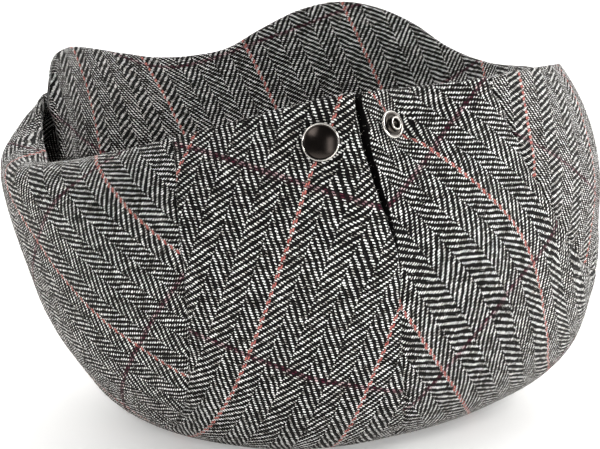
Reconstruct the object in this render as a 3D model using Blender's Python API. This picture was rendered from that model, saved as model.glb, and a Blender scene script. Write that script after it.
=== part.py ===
"""A soft wool flat cap, lying upside down on its crown with the size snap at its back left open.

Metres, +Z up. The crown rests on the floor at z = 0 and the head opening looks up. The back of the cap, with the
slit and the snap, is at -Y, and the peak is at +Y. An azimuth is in degrees about +Z, 0 at the centre of the back
and growing towards +X, so 180 is the front.

The crown is one smooth surface, cut into panels along its seams. A place on it is a pair (across, along) in a disc
of radius 1: the disc's edge is the rim, and its middle is the crown that lies on the floor. Its distance from the
middle is the run: 0 at the middle, 1 at the rim.
"""

import math

import bmesh
import bpy
import numpy as np

# Cloth and fits
CLOTH = 0.0020
SEAM_GAP = 0.0004
SEAT_GAP = 0.0003

# Crown: radii and heights at the rim, the fullest part, the shoulder and the foot it rests on
RIM_RADIUS = 0.0900
RIM_HEIGHT = 0.1310
BULGE_RADIUS = 0.1100
BULGE_HEIGHT = 0.0750
SHOULDER_RADIUS = 0.0900
SHOULDER_HEIGHT = 0.0200
FOOT_RADIUS = 0.0640

# Runs of the middle, the foot, the shoulder, the fullest part and the rim
CROWN_RUNS = (0.0, 0.31, 0.47, 0.69, 1.0)

# The crown around the opening, as shares of the sizes above
CROWN_COLUMNS = ("azimuth", "rim", "rim_height", "bulge", "bulge_height", "shoulder", "shoulder_height", "foot")
CROWN_ROWS = (
    (-180, 1.280, 0.855, 1.145, 0.91, 1.13, 0.90, 1.08),
    (-150, 1.194, 0.779, 1.075, 0.93, 1.09, 0.90, 1.04),
    (-125, 1.125, 0.790, 1.000, 1.05, 1.01, 1.00, 1.00),
    (-108, 1.135, 0.832, 0.985, 1.05, 0.97, 1.10, 0.97),
    (-95, 1.065, 0.755, 0.992, 1.08, 0.96, 1.15, 0.94),
    (-82, 1.011, 0.695, 0.991, 1.08, 0.96, 1.15, 0.93),
    (-60, 0.989, 0.763, 0.955, 1.05, 0.96, 1.05, 0.93),
    (-30, 0.956, 0.863, 0.918, 0.99, 0.94, 0.90, 0.95),
    (0, 0.967, 0.970, 0.900, 0.95, 0.93, 0.80, 0.96),
    (12, 0.983, 0.997, 0.900, 0.93, 0.92, 0.80, 0.93),
    (30, 0.978, 1.000, 0.909, 0.93, 0.90, 0.75, 0.87),
    (60, 1.006, 1.008, 0.955, 0.95, 0.97, 0.80, 0.88),
    (85, 1.033, 0.974, 1.002, 1.02, 1.10, 1.00, 0.98),
    (100, 1.072, 0.940, 1.009, 1.05, 1.11, 1.05, 1.05),
    (125, 1.117, 0.800, 1.018, 0.98, 1.08, 0.95, 1.06),
    (150, 1.194, 0.779, 1.080, 0.93, 1.10, 0.90, 1.07),
)

# Dents and folds pressed into the crown
DENT_DEPTH = 0.0040
DENT_COLUMNS = ("azimuth", "run", "azimuth_spread", "run_spread", "depth")
DENT_ROWS = (
    (-92, 0.93, 13, 0.035, 0.90),
    (-50, 0.86, 12, 0.070, 0.35),
    (30, 0.95, 8, 0.060, 1.10),
    (72, 0.86, 14, 0.070, 0.40),
    (-150, 0.80, 16, 0.080, 0.50),
    (140, 0.82, 14, 0.080, 0.50),
)

# Seams, as places across the disc at each place along it
SEAM_COLUMNS = ("along", "left", "centre", "right")
SEAM_ROWS = (
    (-1.00, -0.500, 0.155, 0.715),
    (-0.86, -0.385, 0.200, 0.688),
    (-0.72, -0.300, 0.232, 0.650),
    (-0.55, -0.230, 0.215, 0.630),
    (-0.42, -0.224, 0.205, 0.620),
    (-0.27, -0.262, 0.165, 0.608),
    (-0.17, -0.292, 0.145, 0.598),
    (0.00, -0.325, 0.120, 0.590),
    (0.42, -0.420, 0.085, 0.592),
    (1.00, -0.700, 0.100, 0.707),
)

# Slit at the centre back: the left flap laps over the right panel
LAP = 0.0050
FLAP_LIFT = 0.0017
PANEL_SINK = 0.0010
LIFT_MARGIN = 0.0012
LIFT_RISE = 0.0120

# Stations of the slit, between -1 at the back rim and 1 at the front rim
SLIT_STATIONS = {"lap_end": -0.74, "shut_from": -0.72, "shut_to": -0.62}

# Peak: a blade that stands in the front of the rim, from its root to its edge
PEAK_THICKNESS = 0.0032
PEAK_GAP = 0.0005
PEAK_FREE_GAP = 0.0026
PEAK_ROOT_HEIGHT = 0.0800
PEAK_EDGE_HEIGHT = 0.1340
PEAK_BOW = 0.0015
PEAK_COLUMNS = ("azimuth", "edge_height", "root_height", "lean", "free_gap")
PEAK_ROWS = (
    (102, 0.905, 1.07, 85, 0.10),
    (108, 0.893, 1.05, 82, 0.00),
    (118, 0.879, 1.02, 76, 0.00),
    (125, 0.866, 1.00, 70, 0.00),
    (135, 0.854, 0.99, 63, 0.00),
    (142, 0.858, 0.98, 58, 0.00),
    (150, 0.882, 0.98, 55, 0.00),
    (158, 0.934, 0.99, 55, 0.00),
    (165, 0.970, 1.00, 56, 0.00),
    (172, 0.986, 1.00, 57, 0.00),
    (180, 0.962, 1.00, 57, 0.00),
    (188, 0.906, 0.99, 56, 0.00),
    (195, 0.857, 0.98, 54, 0.00),
    (203, 0.839, 0.98, 52, 0.00),
    (210, 0.842, 0.98, 54, 0.00),
    (220, 0.872, 0.99, 61, 0.00),
    (230, 0.904, 1.00, 70, 0.00),
    (242, 0.927, 1.02, 77, 0.15),
    (250, 0.905, 1.05, 79, 0.70),
    (258, 0.800, 1.08, 80, 1.00),
)

# Snap: places of its two halves on the crown, as azimuth, run and side of the slit
CAP_PLACE = (4.3, 0.925, 1)
STUD_PLACE = (19.6, 0.945, -1)

# Snap: sizes of the four metal pieces
CAP_RADIUS = 0.00625
CAP_RIM_HEIGHT = 0.0013
CAP_DOME_HEIGHT = 0.0025
SOCKET_RADIUS = 0.0052
SOCKET_HEIGHT = 0.0018
STUD_RADIUS = 0.0048
STUD_FLANGE_HEIGHT = 0.0009
STUD_NUB_RADIUS = 0.0024
STUD_NUB_HEIGHT = 0.0024
EYELET_RADIUS = 0.0045
EYELET_HEIGHT = 0.0008
POST_RADIUS = 0.0012
POST_CLEARANCE = 0.0003
POST_END_SINK = 0.0006

# Fineness of the meshes
ALONG_STEPS = 36
BACK_ACROSS = (0.0, 0.13, 0.26, 0.39, 0.51, 0.62, 0.72, 0.81, 0.89, 0.95, 1.0)
SIDE_ACROSS_STEPS = 9
SMALL_SIDE_ACROSS_STEPS = 7
PEAK_STEPS = 44
PEAK_FACE_STEPS = 4
ROUND_SIDES = 16


def column(rows, columns, name):
    return np.array([row[columns.index(name)] for row in rows], float)


def smooth_through(stations, values, at):
    """Reads the smooth curve through rows of (station, value) at each place in `at`."""
    step = np.diff(stations)
    rise = np.diff(values) / step
    slope = np.empty_like(values)
    slope[1:-1] = (rise[:-1] * step[1:] + rise[1:] * step[:-1]) / (step[1:] + step[:-1])
    slope[0] = rise[0]
    slope[-1] = rise[-1]
    left = np.clip(np.searchsorted(stations, at) - 1, 0, len(step) - 1)
    return hermite(at - stations[left], step[left], values[left], values[left + 1], slope[left], slope[left + 1])


def hermite(offset, step, start, end, start_slope, end_slope):
    """One smooth piece of a curve, by its values and slopes at both ends."""
    share = offset / step
    rest = 1 - share
    return (
        start * (1 + 2 * share) * rest**2
        + end * (1 + 2 * rest) * share**2
        + (start_slope * share * rest**2 - end_slope * share**2 * rest) * step
    )


def smooth_step(start, end, at):
    share = np.clip((at - start) / (end - start), 0, 1)
    return share * share * (3 - 2 * share)


def around(name, azimuth):
    """A column of the crown's table at an azimuth, going round without a break."""
    stations = column(CROWN_ROWS, CROWN_COLUMNS, "azimuth")
    shares = column(CROWN_ROWS, CROWN_COLUMNS, name)
    stations = np.concatenate([stations[-2:] - 360, stations, stations[:2] + 360])
    shares = np.concatenate([shares[-2:], shares, shares[:2]])
    return smooth_through(stations, shares, (azimuth + 180) % 360 - 180)


def dent(azimuth, run):
    """How far the cloth is pressed in at a place on the crown."""
    depth = 0.0 * azimuth
    for row in DENT_ROWS:
        turn = (azimuth - row[0] + 180) % 360 - 180
        depth = depth + row[4] * np.exp(-((turn / row[2]) ** 2) - ((run - row[1]) / row[3]) ** 2)
    return depth * DENT_DEPTH


def crown_profile(azimuth, run):
    """Radius and height of the crown's outer face at an azimuth and a run."""
    foot = FOOT_RADIUS * around("foot", azimuth)
    flat = 0 * foot
    radii = (
        flat,
        foot,
        SHOULDER_RADIUS * around("shoulder", azimuth),
        BULGE_RADIUS * around("bulge", azimuth),
        RIM_RADIUS * around("rim", azimuth),
    )
    heights = (
        flat,
        flat,
        SHOULDER_HEIGHT * around("shoulder_height", azimuth),
        BULGE_HEIGHT * around("bulge_height", azimuth),
        RIM_HEIGHT * around("rim_height", azimuth),
    )
    radius = piecewise(radii, run, foot / CROWN_RUNS[1])
    height = piecewise(heights, run, flat)
    return radius - dent(azimuth, run), height


def piecewise(values, run, foot_slope):
    """A profile through the knots at the crown's runs, whose first piece, the foot, is straight."""
    runs = CROWN_RUNS
    slopes = [foot_slope, foot_slope]
    for knot in (2, 3):
        before = runs[knot] - runs[knot - 1]
        after = runs[knot + 1] - runs[knot]
        rise_before = (values[knot] - values[knot - 1]) / before
        rise_after = (values[knot + 1] - values[knot]) / after
        slopes.append((rise_before * after + rise_after * before) / (before + after))
    slopes.append(1.5 * (values[4] - values[3]) / (runs[4] - runs[3]) - 0.5 * slopes[3])
    result = foot_slope * run
    for knot in (1, 2, 3):
        step = runs[knot + 1] - runs[knot]
        piece = hermite(run - runs[knot], step, values[knot], values[knot + 1], slopes[knot], slopes[knot + 1])
        result = np.where(run > runs[knot], piece, result)
    return result


def crown_point(across, along):
    """The crown's outer face at a place in the disc."""
    run = np.hypot(across, along)
    turn = np.arctan2(across, -along)
    radius, height = crown_profile(np.degrees(turn), run)
    return np.stack([radius * np.sin(turn), -radius * np.cos(turn), height], axis=-1)


def crown_normal(across, along):
    """The direction straight out of the crown at a place in the disc."""
    nudge = 1e-4
    by_across = crown_point(across + nudge, along) - crown_point(across - nudge, along)
    by_along = crown_point(across, along + nudge) - crown_point(across, along - nudge)
    normal = np.cross(by_along, by_across)
    return normal / np.linalg.norm(normal, axis=-1, keepdims=True)


def seam(name, station):
    return smooth_through(column(SEAM_ROWS, SEAM_COLUMNS, "along"), column(SEAM_ROWS, SEAM_COLUMNS, name), station)


def disc_along(across, station):
    """Turns a station from -1, the back rim, to 1, the front rim, into a place along the disc."""
    return station * np.sqrt(1 - across**2)


def metres_across(across, station):
    """How many metres of cloth one unit across the disc is."""
    nudge = 1e-3
    one = crown_point(across - nudge, disc_along(across - nudge, station))
    other = crown_point(across + nudge, disc_along(across + nudge, station))
    return np.linalg.norm(other - one, axis=-1) / (2 * nudge)


def slit_open(station):
    """1 where the slit stands open, 0 where the seam is shut."""
    return 1 - smooth_step(SLIT_STATIONS["shut_from"], SLIT_STATIONS["shut_to"], station)


def lap(station):
    """How far each side of the slit runs past the centre line."""
    lap_end = SLIT_STATIONS["lap_end"]
    return LAP * np.clip((lap_end - station) / (lap_end + 1), 0, 1)


def raised(across, station, side):
    """How far the cloth by the slit stands off the crown: out on the left flap, in on the right panel."""
    past_edge = (seam("centre", station) - across) * metres_across(across, station) * side
    near_slit = 1 - smooth_step(LAP + LIFT_MARGIN, LAP + LIFT_MARGIN + LIFT_RISE, past_edge)
    return (FLAP_LIFT if side > 0 else -PANEL_SINK) * near_slit * slit_open(station)


def wall(across, along, lift):
    """The outside and the inside of the cloth at places in the disc."""
    outside = crown_point(across, along)
    normal = crown_normal(across, along)
    outside = outside + normal * lift[..., None]
    return outside, outside - normal * CLOTH


def back_panel(side):
    """The wall of a panel between a side seam and the centre seam: 1 is the left one, -1 the right one."""
    station = np.linspace(-1, 1, ALONG_STEPS + 1)[:, None]
    share = np.array(BACK_ACROSS)[None, :]
    outer_seam = seam("left" if side > 0 else "right", station)
    centre = seam("centre", station)
    outer_edge = outer_seam + side * SEAM_GAP / 2 / metres_across(outer_seam, station)
    centre_edge = centre + side * (lap(station) - SEAM_GAP / 2) / metres_across(centre, station)
    across = outer_edge + (centre_edge - outer_edge) * share
    station = station + 0 * share
    return wall(across, disc_along(across, station), raised(across, station, side))


def side_panel(side, steps):
    """The wall of a panel between a side seam and the rim: 1 is the left one, -1 the right one."""
    station = np.linspace(-1, 1, ALONG_STEPS + 1)
    seam_across = seam("left" if side > 0 else "right", station)
    seam_across = seam_across - side * SEAM_GAP / 2 / metres_across(seam_across, station)
    seam_along = disc_along(seam_across, station)
    turn_back = math.atan2(seam_across[0], -seam_along[0])
    turn_front = math.atan2(seam_across[-1], -seam_along[-1])
    turn = np.linspace(turn_back, turn_front, ALONG_STEPS + 1)
    share = np.linspace(0, 1, steps + 1)[None, :]
    across = seam_across[:, None] * (1 - share) + np.sin(turn)[:, None] * share
    along = seam_along[:, None] * (1 - share) - np.cos(turn)[:, None] * share
    return wall(across, along, 0 * across)


def peak_section(azimuth):
    """The outline of the peak's blade at an azimuth, from the root up its inside to the edge and down its outside."""
    stations = column(PEAK_ROWS, PEAK_COLUMNS, "azimuth")
    edge_height = PEAK_EDGE_HEIGHT * smooth_through(stations, column(PEAK_ROWS, PEAK_COLUMNS, "edge_height"), azimuth)
    root_height = PEAK_ROOT_HEIGHT * smooth_through(stations, column(PEAK_ROWS, PEAK_COLUMNS, "root_height"), azimuth)
    lean = math.radians(smooth_through(stations, column(PEAK_ROWS, PEAK_COLUMNS, "lean"), azimuth))
    free_gap = PEAK_FREE_GAP * smooth_through(stations, column(PEAK_ROWS, PEAK_COLUMNS, "free_gap"), azimuth)
    turn = math.radians(azimuth)
    rim_outside = crown_point(math.sin(turn), -math.cos(turn))
    rim_inside = rim_outside - crown_normal(math.sin(turn), -math.cos(turn)) * CLOTH
    up_blade = np.array([math.cos(lean), math.sin(lean)])
    out_of_blade = np.array([math.sin(lean), -math.cos(lean)])
    seat = np.array([math.hypot(rim_inside[0], rim_inside[1]), rim_inside[2]])
    seat = seat - out_of_blade * (PEAK_GAP + free_gap)
    root = (root_height - seat[1]) / up_blade[1]
    edge = (edge_height - PEAK_THICKNESS * up_blade[0] - seat[1]) / up_blade[1]
    shares = np.linspace(0, 1, PEAK_FACE_STEPS + 1)
    bow = PEAK_BOW * np.sin(math.pi * shares)
    outside = [seat + up_blade * (root + (edge - root) * s) - out_of_blade * b for s, b in zip(shares, bow)]
    inside = [point - out_of_blade * PEAK_THICKNESS for point in outside]
    crest = (outside[-1] + inside[-1]) / 2 + up_blade * PEAK_THICKNESS * 0.35
    outline = inside + [crest] + outside[::-1]
    return [(radius * math.sin(turn), -radius * math.cos(turn), height) for radius, height in outline]


def paint(name, colour, roughness, metallic):
    material = bpy.data.materials.new(name)
    material.use_nodes = True
    shader = material.node_tree.nodes["Principled BSDF"]
    shader.inputs["Base Color"].default_value = (*colour, 1.0)
    shader.inputs["Roughness"].default_value = roughness
    shader.inputs["Metallic"].default_value = metallic
    return material


def object_from(bm, name, material):
    """Makes the node from a closed bmesh, with its faces pointing out and its round parts shaded smooth."""
    bmesh.ops.recalc_face_normals(bm, faces=bm.faces)
    mesh = bpy.data.meshes.new(name)
    bm.to_mesh(mesh)
    bm.free()
    mesh.materials.append(material)
    mesh.shade_smooth()
    mesh.set_sharp_from_angle(angle=math.radians(40))
    node = bpy.data.objects.new(name, mesh)
    bpy.context.collection.objects.link(node)
    return node


def sheet(name, outside, inside, material):
    """A closed cloth wall from two grids of points. Points that fall together become one corner."""
    bm = bmesh.new()
    made = {}

    def corner(point):
        key = tuple(round(float(value), 7) for value in point)
        if key not in made:
            made[key] = bm.verts.new(key)
        return made[key]

    def face(points):
        ring = []
        for point in points:
            vert = corner(point)
            if vert not in ring:
                ring.append(vert)
        if len(ring) > 2:
            bm.faces.new(ring)

    rows, places = outside.shape[:2]
    for row in range(rows - 1):
        for place in range(places - 1):
            cell = ((row, place), (row, place + 1), (row + 1, place + 1), (row + 1, place))
            face([outside[at] for at in cell])
            face([inside[at] for at in reversed(cell)])
    border = [(0, place) for place in range(places)]
    border += [(row, places - 1) for row in range(1, rows)]
    border += [(rows - 1, place) for place in range(places - 2, -1, -1)]
    border += [(row, 0) for row in range(rows - 2, -1, -1)]
    for at, after in zip(border, border[1:]):
        face([outside[at], inside[at], inside[after], outside[after]])
    return object_from(bm, name, material)


def lofted(name, sections, material):
    """A closed solid skinned over a row of outlines, with flat ends."""
    bm = bmesh.new()
    rings = [[bm.verts.new(point) for point in section] for section in sections]
    for ring, after in zip(rings, rings[1:]):
        for place in range(len(ring)):
            beyond = (place + 1) % len(ring)
            bm.faces.new([ring[place], ring[beyond], after[beyond], after[place]])
    bm.faces.new(rings[0])
    bm.faces.new(rings[-1][::-1])
    return object_from(bm, name, material)


def turned(name, profile, material):
    """A closed solid turned about its own Z from an outline of (radius, height), which may start and end on the axis."""
    bm = bmesh.new()
    verts = [bm.verts.new((radius, 0, height)) for radius, height in profile]
    edges = [bm.edges.new(pair) for pair in zip(verts, verts[1:])]
    if profile[0][0] > 0:
        edges.append(bm.edges.new((verts[-1], verts[0])))
    bmesh.ops.spin(
        bm, geom=verts + edges, cent=(0, 0, 0), axis=(0, 0, 1), angle=2 * math.pi, steps=ROUND_SIDES,
        use_merge=True,
    )
    bmesh.ops.remove_doubles(bm, verts=bm.verts, dist=1e-6)
    return object_from(bm, name, material)


def by_the_slit(across, along, side):
    """The cloth's outer face near the slit, with the lift of the flap or the sink of the panel."""
    station = along / np.sqrt(1 - across**2)
    lift = raised(across, station, side)
    return crown_point(across, along) + crown_normal(across, along) * lift[..., None]


def snap_place(azimuth, run, side):
    """A point on the cloth's outer face by the slit, and the direction out of it."""
    nudge = 1e-3
    turn = math.radians(azimuth)
    across = run * math.sin(turn) + nudge * np.array([0.0, 1.0, -1.0, 0.0, 0.0])
    along = -run * math.cos(turn) + nudge * np.array([0.0, 0.0, 0.0, 1.0, -1.0])
    points = by_the_slit(across, along, side)
    normal = np.cross(points[3] - points[4], points[1] - points[2])
    return points[0], normal / np.linalg.norm(normal)


def stand_on(node, point, normal):
    """Places a turned piece with its axis along the normal."""
    up = np.array([0.0, 0.0, 1.0])
    axis = np.cross(up, normal)
    angle = math.acos(float(normal @ up))
    axis = axis / np.linalg.norm(axis)
    node.rotation_mode = "AXIS_ANGLE"
    node.rotation_axis_angle = (angle, *axis)
    node.location = point


def drill(node, place, outer_radius, inner_radius):
    """Cuts a snap's post hole through a panel, and flattens the cloth under the metal on both of its faces."""
    reach = 3 * CLOTH
    bore = POST_RADIUS + POST_CLEARANCE
    spool = (
        (0, -reach),
        (inner_radius + SEAT_GAP, -reach),
        (inner_radius + SEAT_GAP, -CLOTH),
        (bore, -CLOTH),
        (bore, 0),
        (outer_radius + SEAT_GAP, 0),
        (outer_radius + SEAT_GAP, reach),
        (0, reach),
    )
    cutter = turned(node.name + "_hole", spool, node.data.materials[0])
    stand_on(cutter, *place)
    cutter.hide_render = True
    cutter.display_type = "WIRE"
    hole = node.modifiers.new("post_hole", "BOOLEAN")
    hole.operation = "DIFFERENCE"
    hole.solver = "EXACT"
    hole.object = cutter
    return cutter


def snap_cap_outline():
    """The domed cap with its rolled rim, and the post that goes through the cloth into the socket."""
    under = SEAT_GAP
    post_end = -(CLOTH + SEAT_GAP + SOCKET_HEIGHT - POST_END_SINK)
    shoulder = CAP_RADIUS * 0.88
    return (
        (0, post_end),
        (POST_RADIUS, post_end),
        (POST_RADIUS, under),
        (CAP_RADIUS * 0.94, under),
        (CAP_RADIUS, under + CAP_RIM_HEIGHT * 0.35),
        (CAP_RADIUS * 0.98, under + CAP_RIM_HEIGHT * 0.85),
        (shoulder, under + CAP_RIM_HEIGHT),
        (shoulder * 0.7, under + CAP_DOME_HEIGHT * 0.84),
        (shoulder * 0.35, under + CAP_DOME_HEIGHT * 0.97),
        (0, under + CAP_DOME_HEIGHT),
    )


def snap_socket_outline():
    """The socket ring behind the flap, open through its middle for the post."""
    top = -(CLOTH + SEAT_GAP)
    bottom = top - SOCKET_HEIGHT
    bore = POST_RADIUS + POST_CLEARANCE
    return (
        (bore, top),
        (SOCKET_RADIUS, top),
        (SOCKET_RADIUS, bottom + SOCKET_HEIGHT * 0.3),
        (SOCKET_RADIUS * 0.9, bottom),
        (SOCKET_RADIUS * 0.6, bottom),
        (SOCKET_RADIUS * 0.5, bottom + SOCKET_HEIGHT * 0.35),
        (bore, bottom + SOCKET_HEIGHT * 0.35),
    )


def snap_stud_outline():
    """The stud: a stepped flange with a nub that stands up round the eyelet's post."""
    under = SEAT_GAP
    bore = POST_RADIUS + POST_CLEARANCE
    return (
        (bore, under),
        (STUD_RADIUS * 0.95, under),
        (STUD_RADIUS, under + STUD_FLANGE_HEIGHT * 0.5),
        (STUD_RADIUS * 0.90, under + STUD_FLANGE_HEIGHT),
        (STUD_RADIUS * 0.70, under + STUD_FLANGE_HEIGHT * 0.6),
        (STUD_NUB_RADIUS, under + STUD_FLANGE_HEIGHT * 0.7),
        (STUD_NUB_RADIUS, under + STUD_NUB_HEIGHT * 0.85),
        (STUD_NUB_RADIUS * 0.85, under + STUD_NUB_HEIGHT),
        (bore, under + STUD_NUB_HEIGHT * 0.92),
    )


def snap_eyelet_outline():
    """The eyelet behind the right panel, with the post that goes out through the cloth into the stud."""
    top = -(CLOTH + SEAT_GAP)
    post_end = SEAT_GAP + STUD_NUB_HEIGHT - POST_END_SINK
    return (
        (0, top - EYELET_HEIGHT),
        (EYELET_RADIUS * 0.93, top - EYELET_HEIGHT),
        (EYELET_RADIUS, top - EYELET_HEIGHT * 0.5),
        (EYELET_RADIUS * 0.93, top),
        (POST_RADIUS, top),
        (POST_RADIUS, post_end),
        (0, post_end),
    )


for old in list(bpy.data.objects):
    bpy.data.objects.remove(old, do_unlink=True)

wool = paint("herringbone wool", (0.060, 0.058, 0.057), 0.90, 0.0)
dark_nickel = paint("dark nickel", (0.060, 0.056, 0.054), 0.18, 1.0)
bright_nickel = paint("bright nickel", (0.560, 0.545, 0.520), 0.24, 1.0)

side_panel_left = sheet("side_panel_left", *side_panel(1, SIDE_ACROSS_STEPS), wool)
back_panel_left = sheet("back_panel_left", *back_panel(1), wool)
back_panel_right = sheet("back_panel_right", *back_panel(-1), wool)
side_panel_right = sheet("side_panel_right", *side_panel(-1, SMALL_SIDE_ACROSS_STEPS), wool)
peak_azimuths = np.linspace(PEAK_ROWS[0][0], PEAK_ROWS[-1][0], PEAK_STEPS + 1)
peak = lofted("peak", [peak_section(azimuth) for azimuth in peak_azimuths], wool)

cap_place = snap_place(*CAP_PLACE)
stud_place = snap_place(*STUD_PLACE)
snap_cap = turned("snap_cap", snap_cap_outline(), dark_nickel)
snap_socket = turned("snap_socket", snap_socket_outline(), bright_nickel)
snap_stud = turned("snap_stud", snap_stud_outline(), bright_nickel)
snap_eyelet = turned("snap_eyelet", snap_eyelet_outline(), bright_nickel)
stand_on(snap_cap, *cap_place)
stand_on(snap_socket, *cap_place)
stand_on(snap_stud, *stud_place)
stand_on(snap_eyelet, *stud_place)
cap_hole = drill(back_panel_left, cap_place, CAP_RADIUS, SOCKET_RADIUS)
stud_hole = drill(back_panel_right, stud_place, STUD_RADIUS, EYELET_RADIUS)

flat_cap = bpy.data.objects.new("flat_cap", None)
bpy.context.collection.objects.link(flat_cap)
for piece in (
    side_panel_left, back_panel_left, back_panel_right, side_panel_right, peak,
    snap_cap, snap_socket, snap_stud, snap_eyelet, cap_hole, stud_hole,
):
    piece.parent = flat_cap
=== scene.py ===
"""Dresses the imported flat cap: woven cloth with seams and turned edges, the open snap, and the studio."""

import math

import bpy
import numpy as np
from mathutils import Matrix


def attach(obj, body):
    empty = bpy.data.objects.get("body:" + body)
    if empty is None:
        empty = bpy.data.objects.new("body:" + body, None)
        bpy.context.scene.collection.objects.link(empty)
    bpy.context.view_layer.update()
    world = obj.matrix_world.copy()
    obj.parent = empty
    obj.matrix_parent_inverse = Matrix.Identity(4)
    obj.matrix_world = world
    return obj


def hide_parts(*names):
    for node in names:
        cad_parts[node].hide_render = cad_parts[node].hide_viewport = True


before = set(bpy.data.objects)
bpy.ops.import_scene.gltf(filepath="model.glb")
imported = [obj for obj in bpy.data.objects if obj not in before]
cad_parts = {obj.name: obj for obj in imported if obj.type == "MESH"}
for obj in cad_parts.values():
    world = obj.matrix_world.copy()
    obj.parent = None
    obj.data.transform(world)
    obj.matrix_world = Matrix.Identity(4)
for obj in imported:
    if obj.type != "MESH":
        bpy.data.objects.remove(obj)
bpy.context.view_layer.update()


# The crown, the soft body of the cap
# Four panels of brushed wool twill, cut flat and sewn edge to edge, unlined. It lies upside down on its top,
# which its own weight flattens on the floor. The shape is the one the solids have, with the same tables.
CLOTH = 0.0020
RIM_RADIUS = 0.0900
RIM_HEIGHT = 0.1310
BULGE_RADIUS = 0.1100
BULGE_HEIGHT = 0.0750
SHOULDER_RADIUS = 0.0900
SHOULDER_HEIGHT = 0.0200
FOOT_RADIUS = 0.0640
CROWN_RUNS = (0.0, 0.31, 0.47, 0.69, 1.0)
CROWN_COLUMNS = (
    "azimuth", "rim", "rim_height", "bulge", "bulge_height", "shoulder", "shoulder_height", "foot",
)
CROWN_ROWS = np.array((
    (-180, 1.280, 0.855, 1.145, 0.91, 1.13, 0.90, 1.08),
    (-150, 1.194, 0.779, 1.075, 0.93, 1.09, 0.90, 1.04),
    (-125, 1.125, 0.790, 1.000, 1.05, 1.01, 1.00, 1.00),
    (-108, 1.135, 0.832, 0.985, 1.05, 0.97, 1.10, 0.97),
    (-95, 1.065, 0.755, 0.992, 1.08, 0.96, 1.15, 0.94),
    (-82, 1.011, 0.695, 0.991, 1.08, 0.96, 1.15, 0.93),
    (-60, 0.989, 0.763, 0.955, 1.05, 0.96, 1.05, 0.93),
    (-30, 0.956, 0.863, 0.918, 0.99, 0.94, 0.90, 0.95),
    (0, 0.967, 0.970, 0.900, 0.95, 0.93, 0.80, 0.96),
    (12, 0.983, 0.997, 0.900, 0.93, 0.92, 0.80, 0.93),
    (30, 0.978, 1.000, 0.909, 0.93, 0.90, 0.75, 0.87),
    (60, 1.006, 1.008, 0.955, 0.95, 0.97, 0.80, 0.88),
    (85, 1.033, 0.974, 1.002, 1.02, 1.10, 1.00, 0.98),
    (100, 1.072, 0.940, 1.009, 1.05, 1.11, 1.05, 1.05),
    (125, 1.117, 0.800, 1.018, 0.98, 1.08, 0.95, 1.06),
    (150, 1.194, 0.779, 1.080, 0.93, 1.10, 0.90, 1.07),
))
DENT_DEPTH = 0.0040
DENT_ROWS = (
    (-92, 0.93, 13, 0.035, 0.90),
    (-50, 0.86, 12, 0.070, 0.35),
    (30, 0.95, 8, 0.060, 1.10),
    (72, 0.86, 14, 0.070, 0.40),
    (-150, 0.80, 16, 0.080, 0.50),
    (140, 0.82, 14, 0.080, 0.50),
)
SEAM_COLUMNS = ("along", "left", "centre", "right")
SEAM_ROWS = np.array((
    (-1.00, -0.500, 0.155, 0.715),
    (-0.86, -0.385, 0.200, 0.688),
    (-0.72, -0.300, 0.232, 0.650),
    (-0.55, -0.230, 0.215, 0.630),
    (-0.42, -0.224, 0.205, 0.620),
    (-0.27, -0.262, 0.165, 0.608),
    (-0.17, -0.292, 0.145, 0.598),
    (0.00, -0.325, 0.120, 0.590),
    (0.42, -0.420, 0.085, 0.592),
    (1.00, -0.700, 0.100, 0.707),
))


def hermite(offset, step, start, end, start_slope, end_slope):
    """One smooth piece of a curve, by its values and slopes at both ends."""
    share = offset / step
    rest = 1 - share
    return (
        start * (1 + 2 * share) * rest**2
        + end * (1 + 2 * rest) * share**2
        + (start_slope * share * rest**2 - end_slope * share**2 * rest) * step
    )


def smooth_through(stations, values, at):
    """Reads the smooth curve through rows of (station, value) at each place in `at`."""
    step = np.diff(stations)
    rise = np.diff(values) / step
    slope = np.empty_like(values)
    slope[1:-1] = (rise[:-1] * step[1:] + rise[1:] * step[:-1]) / (step[1:] + step[:-1])
    slope[0] = rise[0]
    slope[-1] = rise[-1]
    left = np.clip(np.searchsorted(stations, at) - 1, 0, len(step) - 1)
    right = left + 1
    return hermite(at - stations[left], step[left], values[left], values[right], slope[left], slope[right])


def smooth_step(start, end, at):
    """Goes smoothly from 0 before `start` to 1 after `end`."""
    share = np.clip((at - start) / (end - start), 0, 1)
    return share * share * (3 - 2 * share)


def around(name, azimuth):
    """A column of the crown's table at an azimuth, going round without a break."""
    stations = CROWN_ROWS[:, 0]
    shares = CROWN_ROWS[:, CROWN_COLUMNS.index(name)]
    stations = np.concatenate([stations[-2:] - 360, stations, stations[:2] + 360])
    shares = np.concatenate([shares[-2:], shares, shares[:2]])
    return smooth_through(stations, shares, (azimuth + 180) % 360 - 180)


def dent(azimuth, run):
    """How far the cloth is pressed in at a place on the crown."""
    depth = 0.0 * azimuth
    for centre, centre_run, azimuth_spread, run_spread, share in DENT_ROWS:
        round_crown = ((azimuth - centre + 180) % 360 - 180) / azimuth_spread
        down_crown = (run - centre_run) / run_spread
        depth = depth + share * np.exp(-(round_crown**2) - down_crown**2)
    return depth * DENT_DEPTH


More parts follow.
